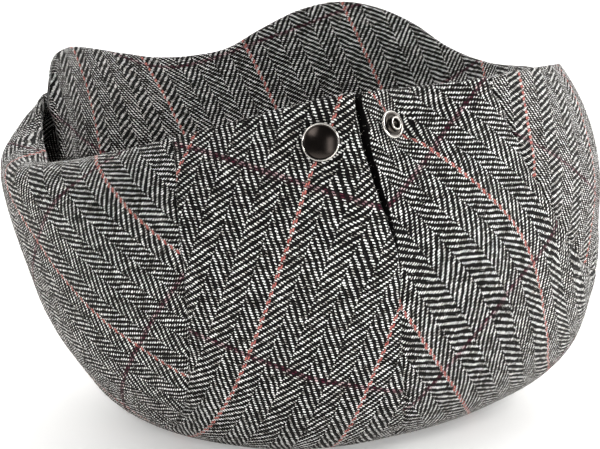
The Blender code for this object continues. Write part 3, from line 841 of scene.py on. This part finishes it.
def side_panel(name, node, side, turn, coral, wine, pulled, length):
    """A panel between a side seam and the rim: 1 is the left one, -1 the right one."""
    station = np.linspace(-SIDE_PANEL_END, SIDE_PANEL_END, int(length / GRID_STEP))
    seam_across, seam_along, rim_across, rim_along = side_places(side, station)
    seam_across = seam_across + side * SEAM_TUCK / 2 / metres_across(seam_across, station)
    at_seam = crown_point(seam_across, seam_along)
    at_rim = crown_point(rim_across, rim_along)
    halfway = crown_point((rim_across + seam_across) / 2, (rim_along + seam_along) / 2)
    width = np.linalg.norm(halfway - at_seam, axis=-1) + np.linalg.norm(at_rim - halfway, axis=-1)
    from_seam = from_edge(width, SEAM_RADIUS, FOLD_RADIUS)
    if side > 0:
        from_seam = from_seam[:, ::-1]
    share = from_seam / width[:, None]
    across = between(seam_across, rim_across, share)
    along = between(seam_along, rim_along, share)
    places = np.linspace(1, 0, FLAT_PLACES) if side > 0 else np.linspace(0, 1, FLAT_PLACES)
    corner = side_places(side, np.linspace(-1, 1, FLAT_ROWS))
    flat = flattened(crown_point(between(*corner[::2], places), between(*corner[1::2], places)))
    row = (station[:, None] + 1) / 2 * (FLAT_ROWS - 1) + 0 * share
    place = (1 - share if side > 0 else share) * (FLAT_PLACES - 1)
    laid = on_cloth(read_grid(flat, row, place), turn, coral, wine, pulled)
    seams = [(from_seam, seam_run(OUTER_SEAM[side], station)[:, None])]
    from_rim = width[:, None] - from_seam
    return dress_panel(name, node, across, along, from_rim, seams, 0 * across, laid, rim_axis=1)


left_side = side_panel(
    "left_side_cloth", "side_panel_left", side=1, turn=43.5, coral=-18.2, wine=-33.2, pulled=slack_cloth,
    length=0.26,
)
right_side = side_panel(
    "right_side_cloth", "side_panel_right", side=-1, turn=-76.5, coral=66.0, wine=20.0, pulled=slanting_cloth,
    length=0.17,
)


# The peak
# A stiff blade covered in the same cloth on both sides, turned over at its outer edge and sewn into the front
# of the rim. Its underside faces up and back, and its soft left end stands free of the crown.
PEAK_THICKNESS = 0.0032
PEAK_GAP = 0.0005
PEAK_FREE_GAP = 0.0026
PEAK_ROOT_HEIGHT = 0.0800
PEAK_EDGE_HEIGHT = 0.1340
PEAK_BOW = 0.0015
# Azimuth, the edge's height, the root's height, the lean in degrees, and the gap at the free end.
PEAK_ROWS = np.array((
    (102, 0.905, 1.07, 85, 0.10),
    (108, 0.893, 1.05, 82, 0.00),
    (118, 0.879, 1.02, 76, 0.00),
    (125, 0.866, 1.00, 70, 0.00),
    (135, 0.854, 0.99, 63, 0.00),
    (142, 0.858, 0.98, 58, 0.00),
    (150, 0.882, 0.98, 55, 0.00),
    (158, 0.934, 0.99, 55, 0.00),
    (165, 0.970, 1.00, 56, 0.00),
    (172, 0.986, 1.00, 57, 0.00),
    (180, 0.962, 1.00, 57, 0.00),
    (188, 0.906, 0.99, 56, 0.00),
    (195, 0.857, 0.98, 54, 0.00),
    (203, 0.839, 0.98, 52, 0.00),
    (210, 0.842, 0.98, 54, 0.00),
    (220, 0.872, 0.99, 61, 0.00),
    (230, 0.904, 1.00, 70, 0.00),
    (242, 0.927, 1.02, 77, 0.15),
    (250, 0.905, 1.05, 79, 0.70),
    (258, 0.800, 1.08, 80, 1.00),
))
PEAK_EDGE_RADIUS = 0.0017
PEAK_END_RADIUS = 0.0042
PEAK_END_CURL = 0.0010
PEAK_END_WRAP = 0.0090
PEAK_CURL_LENGTH = 0.0110
PEAK_WAVE_HEIGHT = 0.0004
PEAK_LENGTH = 0.29


def peak_surface(azimuth, share):
    """The blade's middle from root, share 0, to edge, share 1, the way out of its top, and its depth."""
    edge_share, root_share, degrees, free_share = (
        smooth_through(PEAK_ROWS[:, 0], values, azimuth) for values in PEAK_ROWS[:, 1:].T
    )
    edge_height = PEAK_EDGE_HEIGHT * edge_share
    root_height = PEAK_ROOT_HEIGHT * root_share
    lean = np.radians(degrees)
    turn = np.radians(azimuth)
    across, along = np.sin(turn), -np.cos(turn)
    rim = crown_point(across, along) - crown_normal(across, along) * CLOTH
    seat = np.stack([np.hypot(rim[..., 0], rim[..., 1]), rim[..., 2]], axis=-1)
    up_blade = np.stack([np.cos(lean), np.sin(lean)], axis=-1)
    out_of_blade = np.stack([np.sin(lean), -np.cos(lean)], axis=-1)
    seat = seat - out_of_blade * (PEAK_GAP + PEAK_FREE_GAP * free_share)[..., None]
    root = (root_height - seat[..., 1]) / up_blade[..., 1]
    edge = (edge_height - PEAK_THICKNESS * up_blade[..., 0] / 2 - seat[..., 1]) / up_blade[..., 1]
    reach = root + (edge - root) * share
    inward = PEAK_THICKNESS / 2 + PEAK_BOW * np.sin(math.pi * share)
    flat = seat + up_blade * reach[..., None] - out_of_blade * inward[..., None]
    point = turned_round(turn, flat[..., 0], flat[..., 1])
    out = turned_round(turn, out_of_blade[..., 0], out_of_blade[..., 1])
    return point, out, edge - root


def make_peak():
    """The covered blade, as a grid from its outer edge down to its root, with its free left end rolled."""
    low, high = PEAK_ROWS[0, 0], PEAK_ROWS[-1, 0]
    from_left = from_edge(np.array([PEAK_LENGTH]), PEAK_END_RADIUS, FOLD_RADIUS)[0]
    azimuth = high + (low - high) * from_left / PEAK_LENGTH
    depth = peak_surface(azimuth, 0 * azimuth)[2]
    from_top = from_edge(depth, PEAK_EDGE_RADIUS, FOLD_RADIUS).T
    share = 1 - from_top / depth
    azimuths = azimuth + 0 * share
    middle, out, _ = peak_surface(azimuths, share)
    laid_share = np.linspace(1, 0, FLAT_PLACES)[:, None]
    laid_azimuth = np.linspace(high, low, FLAT_ROWS)[None, :]
    flat = flattened(peak_surface(laid_azimuth + 0 * laid_share, laid_share + 0 * laid_azimuth)[0])
    row = (1 - share) * (FLAT_PLACES - 1)
    place = (high - azimuths) / (high - low) * (FLAT_ROWS - 1)
    laid = on_cloth(read_grid(flat, row, place), turn=-24.0, coral=-7.8, wine=-40.0, pulled=drawn_cloth)
    from_left = from_left + 0 * share
    half = PEAK_THICKNESS / 2
    for distance, radius in (
        (from_top, PEAK_EDGE_RADIUS),
        (depth - from_top, FOLD_RADIUS),
        (from_left, PEAK_END_RADIUS),
        (PEAK_LENGTH - from_left, FOLD_RADIUS),
    ):
        half = half * roll_over(distance, radius)
    curl = PEAK_END_CURL * (1 - smooth_step(0.0, PEAK_CURL_LENGTH, from_left))
    middle = middle + out * (PEAK_WAVE_HEIGHT * waves(middle, seed=11) + curl)[..., None]
    inside = middle - out * half[..., None]
    outside = middle + out * half[..., None]
    from_top = from_top + 0 * share
    place = laid - carried_over(laid, from_top, PEAK_EDGE_RADIUS, PEAK_THICKNESS / 2, axis=0)
    place = place - carried_over(laid, from_left, PEAK_END_RADIUS, PEAK_THICKNESS / 2, axis=1)
    rolled = PEAK_THICKNESS * roll_over(from_left, PEAK_END_RADIUS)
    wrapped = 2 * np.minimum(from_left, PEAK_END_WRAP) + rolled
    turned_place = place - unit(np.gradient(laid, axis=1)) * (1000 * wrapped)[..., None]
    return cloth_piece("peak_cloth", "peak", inside, outside, place, turned_place)


peak_cloth = make_peak()


# The nap
# Brushing has raised the ends of wool fibres out of the cloth, black ones and off-white ones, which blur its
# outline. Single fibres are too fine to show, so each is drawn as thick as a tuft of four or five.
TUFTS_PER_METRE = 225000
TUFT_WIDTH = 0.00006
TUFT_LENGTHS = (0.0006, 0.0016)
TUFT_ROOT = 0.0002
TUFT_RISE = 0.65
TUFT_LEAN = 0.75
TUFT_BEND = 0.8
CLEAR_OF_FLOOR = 0.0015


def raised_fibres(pieces):
    """Bent ribbons that stand on both faces of the cloth at random places and angles."""
    random = np.random.default_rng(seed=7)
    points = []
    tones = []
    for piece in pieces:
        mesh = piece.data
        mesh.calc_loop_triangles()
        corners = np.empty(len(mesh.loop_triangles) * 3, np.int32)
        mesh.loop_triangles.foreach_get("vertices", corners)
        places = np.empty(len(mesh.vertices) * 3, np.float32)
        mesh.vertices.foreach_get("co", places)
        corner = places.reshape(-1, 3)[corners.reshape(-1, 3)].astype(float)
        across = np.cross(corner[:, 1] - corner[:, 0], corner[:, 2] - corner[:, 0])
        area = np.linalg.norm(across, axis=1) / 2
        count = int(area.sum() * TUFTS_PER_METRE)
        chosen = random.choice(len(area), count, p=area / area.sum())
        first, second = random.random((2, count, 1))
        folded = first + second > 1
        first, second = np.where(folded, 1 - first, first), np.where(folded, 1 - second, second)
        at = corner[chosen]
        root = at[:, 0] + (at[:, 1] - at[:, 0]) * first + (at[:, 2] - at[:, 0]) * second
        out = across[chosen] / (2 * area[chosen, None])
        lean = unit(np.cross(out, random.normal(size=(count, 3))))
        length = random.uniform(*TUFT_LENGTHS, (count, 1)) / 2
        knee = root + length * (TUFT_RISE * out + TUFT_LEAN * lean)
        tip = knee + length * unit(lean + TUFT_BEND * random.normal(size=(count, 3)))
        width = np.cross(out, lean) * TUFT_WIDTH / 2
        root = root - out * TUFT_ROOT
        end = width / 3
        outline = [root - width, root + width, knee - width, knee + width, tip - end, tip + end]
        points.append(np.stack(outline, axis=1))
        tones.append(random.random(count))
    points = np.concatenate(points)
    tones = np.concatenate(tones)
    clear = points[:, :, 2].min(axis=1) > CLEAR_OF_FLOOR
    points = points[clear].reshape(-1, 3)
    tones = np.repeat(tones[clear], 6)
    start = np.arange(0, len(points), 6)[:, None]
    faces = np.concatenate([start + [0, 1, 3, 2], start + [2, 3, 5, 4]])
    # Matt hairs in the cloth's own black and off-white, a haze on its face and a soft fringe on its outline.
    material, tree = new_material("raised wool fibre ends")
    tone = add(tree, "ShaderNodeAttribute", {"attribute_name": "tone"}, {})
    ramp = add(tree, "ShaderNodeValToRGB", {}, {"Fac": tone.outputs["Fac"]})
    for at, (position, colour) in enumerate(((0.35, "#1d1a19"), (0.65, "#d9d4cc"))):
        ramp.color_ramp.elements[at].position = position
        ramp.color_ramp.elements[at].color = from_hex(colour)
    looks = {"Base Color": ramp.outputs["Color"], "Roughness": 0.9}
    shader = add(tree, "ShaderNodeBsdfPrincipled", {}, looks)
    add(tree, "ShaderNodeOutputMaterial", {}, {"Surface": shader.outputs["BSDF"]})
    nap = shaped("raised_fibres", points, faces, [material])
    attribute = nap.data.attributes.new("tone", "FLOAT", "POINT")
    attribute.data.foreach_set("value", tones.astype(np.float32))
    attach(nap, "root")
    return nap


nap = raised_fibres([left_back, right_back, left_side, right_side, peak_cloth])


# The snap
# A brass size snap plated in nickel, standing open: a domed black-nickel cap with a bright rolled rim on the
# left flap, its socket behind, a bright stud with its nub on the right panel, and the eyelet behind that.
# Their outlines are in millimetres.
SNAP_SIDES = 72
SEAT = 0.0003
DOME_RADIUS = 5.72
DOME_FOOT = 0.35
DOME_RISE = 0.75


def turned(name, node, profile, place, materials):
    """A round metal piece from an outline of (radius, height, material), which may start on its axis."""
    point, normal = place
    side = unit(np.cross(normal, [0.0, 0.0, 1.0]))
    over = np.cross(normal, side)
    radius, height, paint = (np.array(part) for part in zip(*profile))
    radius = radius / 1000
    height = height / 1000 + SEAT
    angle = np.linspace(0, 2 * math.pi, SNAP_SIDES, endpoint=False)
    ring = np.cos(angle)[:, None] * side + np.sin(angle)[:, None] * over
    points = point + radius[:, None, None] * ring + height[:, None, None] * normal
    count = len(profile)
    index = np.arange(count * SNAP_SIDES).reshape(count, SNAP_SIDES)
    index = np.concatenate([index, index[:, :1]], axis=1)
    if radius[0] > 0:
        index = np.concatenate([index, index[:1]])
    piece = shaped(name, points.reshape(-1, 3), quads(index), materials)
    on_faces = np.repeat(np.roll(paint, -1)[:len(index) - 1], SNAP_SIDES)
    piece.data.polygons.foreach_set("material_index", on_faces.tolist())
    piece.data.shade_smooth()
    piece.data.validate()
    weld = piece.modifiers.new("weld", "WELD")
    weld.merge_threshold = 1e-6
    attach(piece, "root")
    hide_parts(node)
    return piece


def plated_nickel(name, colour, roughness):
    """Brass under polished nickel plate: a clean mirror, hazed a little by handling in patches of 1 mm."""
    patches_per_metre = 900.0
    material, tree = new_material(name)
    place = add(tree, "ShaderNodeTexCoord", {}, {})
    haze = add(
        tree, "ShaderNodeTexNoise", {},
        {"Vector": place.outputs["Object"], "Scale": patches_per_metre, "Detail": 4.0, "Roughness": 0.6},
    )
    dull = add(
        tree, "ShaderNodeMapRange", {},
        {"Value": haze.outputs["Fac"], "To Min": roughness * 0.7, "To Max": roughness * 1.4},
    )
    shader = add(
        tree, "ShaderNodeBsdfPrincipled", {},
        {"Base Color": from_hex(colour), "Metallic": 1.0, "Roughness": dull.outputs["Result"]},
    )
    add(tree, "ShaderNodeOutputMaterial", {}, {"Surface": shader.outputs["BSDF"]})
    return material


bright_nickel = plated_nickel("bright nickel plate", "#dad6d0", 0.12)
# Two darker copies of the stud's nickel plate, which paint half shade and deep shade on it.
nickel_painted_half_shade = plated_nickel("nickel plate painted in half shade", "#8d8883", 0.18)
nickel_painted_deep_shade = plated_nickel("nickel plate painted in deep shade", "#3d3935", 0.20)
black_nickel = plated_nickel("black nickel plate", "#35302d", 0.17)

cap_place = (cap_point, cap_normal)
stud_tilt = math.radians(STUD_TILT)
stud_place = (stud_point, stud_normal * math.cos(stud_tilt) + tilt_direction * math.sin(stud_tilt))

dome = [(DOME_RADIUS * share, DOME_FOOT + DOME_RISE * (1 - share**2), 1) for share in np.linspace(0, 1, 14)]
cap_profile = [
    (0.0, -3.5, 0), (1.2, -3.5, 0), (1.2, 0.0, 0), (6.05, 0.00, 0), (6.28, 0.10, 0), (6.40, 0.34, 0),
    (6.42, 0.66, 0), (6.34, 0.92, 0), (6.20, 1.08, 0), (6.03, 1.12, 0), (5.88, 1.00, 0), (5.80, 0.76, 0),
]
cap_profile.extend(reversed(dome))
snap_cap = turned("snap_cap_plated", "snap_cap", cap_profile, cap_place, [bright_nickel, black_nickel])
socket_profile = [
    (1.5, -2.6, 0), (5.0, -2.6, 0), (5.2, -2.8, 0), (5.2, -3.9, 0), (4.9, -4.3, 0), (4.2, -4.4, 0),
    (3.2, -4.3, 0), (2.7, -3.9, 0), (2.5, -3.2, 0), (1.5, -3.2, 0),
]
snap_socket = turned("snap_socket_plated", "snap_socket", socket_profile, cap_place, [bright_nickel])
# The stud is bright nickel plate, painted half shade on its ring's inner slope and nub shoulders and deep
# shade in its dish, on its post and in its middle.
stud_profile = [
    (0.0, -0.02, 0), (4.55, -0.02, 0), (4.75, 0.15, 0), (4.80, 0.45, 0), (4.62, 0.80, 0), (4.35, 0.92, 0),
    (3.95, 0.75, 1), (3.60, 0.50, 2), (3.00, 0.45, 2), (2.60, 0.60, 2), (2.25, 1.10, 2), (2.25, 1.65, 2),
    (2.40, 2.00, 2), (2.32, 2.20, 2), (2.15, 2.40, 1), (1.85, 2.42, 0), (1.62, 2.20, 1), (1.50, 1.70, 2),
    (1.45, 0.70, 2), (0.0, 0.60, 2),
]
stud_plate_lit_and_shaded = [bright_nickel, nickel_painted_half_shade, nickel_painted_deep_shade]
snap_stud = turned("snap_stud_plated", "snap_stud", stud_profile, stud_place, stud_plate_lit_and_shaded)
eyelet_profile = [
    (0.0, -3.3, 0), (3.9, -3.3, 0), (4.4, -3.1, 0), (4.5, -2.8, 0), (4.2, -2.6, 0), (0.0, -2.6, 0),
]
snap_eyelet = turned("snap_eyelet_plated", "snap_eyelet", eyelet_profile, stud_place, [bright_nickel])


# The studio
# A plain pale floor under soft white light, strongest from behind and dim from the camera's side. Softboxes
# stand at the right, the left and low in front, and a reflector and a strip show in the snap.
FLOOR_REACH = 4.0
FLOOR_DROP = 0.0002
FLOOR_CORNERS = np.array([(-1, -1, 0), (1, -1, 0), (1, 1, 0), (-1, 1, 0)])
LIGHT_AIM = (0.0, 0.0, 0.09)
# Matt white paint that glows faintly, as a lit sweep does, so that almost no shadow shows on it.
floor_paint, tree = new_material("matt white studio floor")
floor_shader = add(
    tree, "ShaderNodeBsdfPrincipled", {},
    {
        "Base Color": from_hex("#f4f3f1"),
        "Roughness": 0.9,
        "Specular IOR Level": 0.1,
        "Emission Color": from_hex("#ffffff"),
        "Emission Strength": 0.28,
    },
)
add(tree, "ShaderNodeOutputMaterial", {}, {"Surface": floor_shader.outputs["BSDF"]})
floor = shaped("floor", FLOOR_REACH * FLOOR_CORNERS, np.array([[0, 1, 2, 3]]), [floor_paint])
floor.location.z = -FLOOR_DROP

bpy.context.scene.view_settings.view_transform = "Standard"
world = bpy.data.worlds.new("studio")
bpy.context.scene.world = world
world.use_nodes = True
sky = world.node_tree
look = add(sky, "ShaderNodeTexCoord", {}, {})
toward_back = add(
    sky, "ShaderNodeVectorMath", {"operation": "DOT_PRODUCT"},
    {0: look.outputs["Generated"], 1: (0.0, 1.0, 0.0)},
)
glow = add(
    sky, "ShaderNodeMapRange", {"interpolation_type": "SMOOTHSTEP"},
    {"Value": toward_back.outputs["Value"], "From Min": -0.1, "From Max": 0.5, "To Min": 0.15, "To Max": 3.2},
)
background = sky.nodes["Background"]
background.inputs["Color"].default_value = from_hex("#ffffff")
sky.links.new(glow.outputs["Result"], background.inputs["Strength"])

for name, place, power, width, height in (
    ("right softbox", (0.95, -0.25, 0.75), 6.2, 0.40, 0.40),
    ("left softbox", (-1.00, -0.40, 0.35), 0.8, 0.50, 0.50),
    ("low front softbox", (0.95, -0.88, 0.13), 4.8, 0.60, 0.20),
    ("upper left reflector", (-0.78, -0.84, 0.85), 1.4, 0.30, 0.30),
    ("front strip", (-0.15, -1.34, 0.43), 1.5, 0.20, 0.60),
):
    light = bpy.data.lights.new(name, "AREA")
    light.energy = power
    light.shape = "RECTANGLE"
    light.size = width
    light.size_y = height
    lamp = placed(name, light)
    lamp.location = place
    aim = np.array(LIGHT_AIM) - np.array(place)
    turn_z = math.atan2(aim[1], aim[0])
    tilt = math.acos(-aim[2] / np.linalg.norm(aim))
    lamp.rotation_euler = (tilt, 0, turn_z - math.pi / 2)

CAMERA_DISTANCE = 0.900
CAMERA_ELEVATION = math.radians(13)
CAMERA_AIM = 0.066
camera_lens = bpy.data.cameras.new("camera")
camera_lens.sensor_width = 36
camera_lens.lens = 145.8
camera_lens.clip_start = 0.05
camera = placed("camera", camera_lens)
camera.location = (
    0,
    -CAMERA_DISTANCE * math.cos(CAMERA_ELEVATION),
    CAMERA_AIM + CAMERA_DISTANCE * math.sin(CAMERA_ELEVATION),
)
camera.rotation_euler = (math.pi / 2 - CAMERA_ELEVATION, 0, 0)
bpy.context.scene.camera = camera
